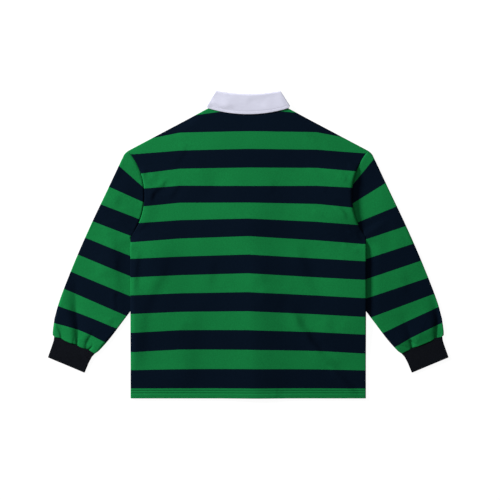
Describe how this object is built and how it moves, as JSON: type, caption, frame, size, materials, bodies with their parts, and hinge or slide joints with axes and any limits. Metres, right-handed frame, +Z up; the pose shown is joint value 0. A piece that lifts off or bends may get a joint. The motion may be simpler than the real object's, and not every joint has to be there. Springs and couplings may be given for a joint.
{
  "type": "long-sleeved polo shirt, laid flat",
  "caption": "Long-sleeved striped rugby polo shirt laid flat on its front: drop-shoulder sleeves, rib cuffs, turned-down collar and a buttoned front placket.",
  "frame": {"origin": "centre of the shirt's outline on the surface that it lies on", "axes": "+Z up out of the surface, through the shirt's back; +Y from the hem to the collar; +X to the wearer's right"},
  "size_m": [0.9988, 0.767, 0.0116],
  "materials": {
    "striped_jersey": "matt cotton jersey in bottle-green and navy horizontal stripes",
    "collar_twill": "matt white cotton twill",
    "cuff_rib": "matt near-black cotton rib",
    "button_rubber": "satin off-white buttons"
  },
  "bodies": {
    "root": {"back_panel": "striped_jersey", "front_panel": "striped_jersey", "sleeve_left": "striped_jersey", "sleeve_right": "striped_jersey", "cuff_left": "cuff_rib", "cuff_right": "cuff_rib", "collar": "collar_twill", "placket_over": "collar_twill", "placket_under": "collar_twill", "button_1": "button_rubber", "button_2": "button_rubber", "button_3": "button_rubber"}
  },
  "joints": []
}
